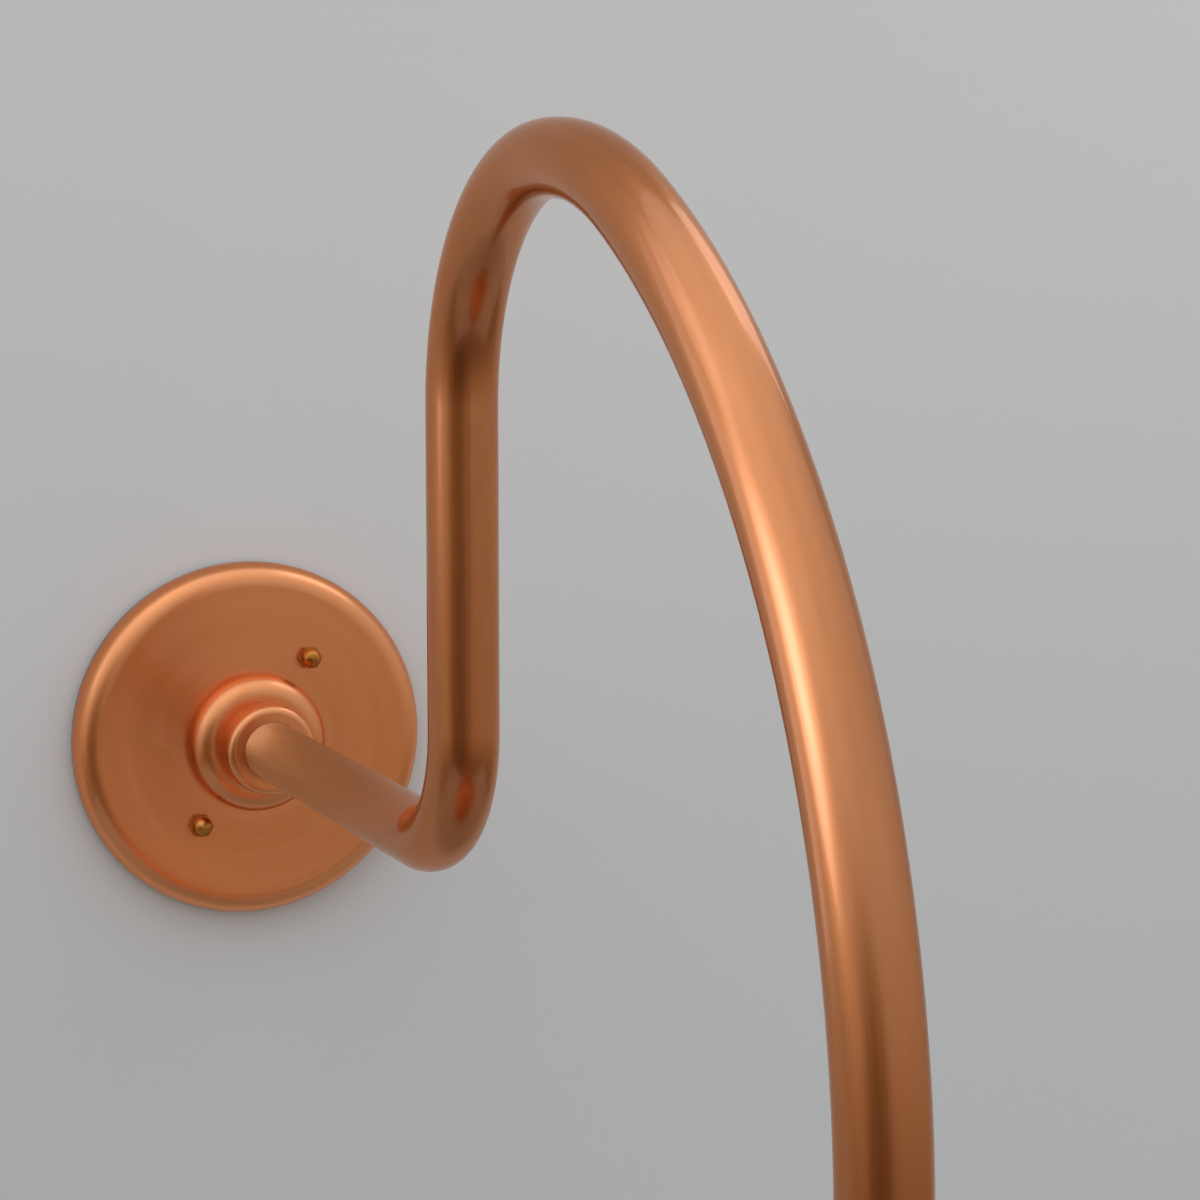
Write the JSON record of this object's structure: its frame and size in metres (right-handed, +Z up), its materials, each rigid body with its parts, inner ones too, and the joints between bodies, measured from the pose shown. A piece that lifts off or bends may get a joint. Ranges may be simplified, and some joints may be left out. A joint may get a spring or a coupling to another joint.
{
  "type": "gooseneck barn light",
  "caption": "Wall light with a round plate, a gooseneck tube arm and a wide spun shade that tilts on a friction swivel over a screw-in bulb.",
  "frame": {"origin": "centre of the wall bracket on the wall plane, on the axis of the arm's stub", "axes": "+Y into the wall, so the light projects along -Y; +Z up; +X to the right of someone who faces the wall"},
  "size_m": [0.3556, 0.699, 0.5346],
  "materials": {
    "lacquered_copper": "satin",
    "brass": "satin",
    "zinc_plated_steel": "satin",
    "nickel_plate": "satin",
    "green_screw": "satin",
    "foam": "matte",
    "rubber": "matte",
    "black_insulation": "satin",
    "white_insulation": "satin",
    "green_insulation": "satin",
    "nylon": "satin",
    "porcelain": "gloss",
    "clear_glass": "gloss",
    "phosphor": "satin"
  },
  "bodies": {
    "wall_arm": {"wall_gasket": "foam", "mounting_bracket": "zinc_plated_steel", "plate_studs": "brass", "stud_locknuts": "zinc_plated_steel", "ground_screw": "green_screw", "ground_lead": "green_insulation", "wire_connectors": "nylon", "wall_plate": "lacquered_copper", "cap_nuts": "brass", "arm_plug": "brass", "plug_lock_washer": "zinc_plated_steel", "plug_locknut": "brass", "hub_boss": "lacquered_copper", "hub_collar": "lacquered_copper", "collar_set_screw": "zinc_plated_steel", "arm_tube": "lacquered_copper", "live_wire": "black_insulation", "neutral_wire": "white_insulation", "arm_coupling": "lacquered_copper", "coupling_set_screw": "zinc_plated_steel", "swivel_fork": "lacquered_copper", "friction_washers": "zinc_plated_steel"},
    "shade_head": {"swivel_tongue": "lacquered_copper", "pivot_screws": "brass", "shade_holder": "lacquered_copper", "holder_seal": "rubber", "socket_bracket": "zinc_plated_steel", "stem_lock_washer": "zinc_plated_steel", "stem_locknut": "brass", "shade_screws": "brass", "shade": "lacquered_copper", "porcelain_socket": "porcelain", "bracket_screws": "zinc_plated_steel", "terminal_screws": "brass", "spring_contact": "brass", "screw_shell": "brass", "live_lead": "black_insulation", "neutral_lead": "white_insulation", "bulb_contact": "zinc_plated_steel", "bulb_insulator": "black_insulation", "bulb_cap": "nickel_plate", "bulb_glass": "clear_glass", "bulb_stem": "clear_glass", "filament_supports": "zinc_plated_steel", "light_filaments": "phosphor"}
  },
  "joints": [
    {"name": "shade_tilt", "type": "hinge", "parent": "wall_arm", "child": "shade_head", "pos_m": [0, -0.52127, -0.12311], "axis": [1, 0, 0], "range_deg": [-45, 45]}
  ]
}
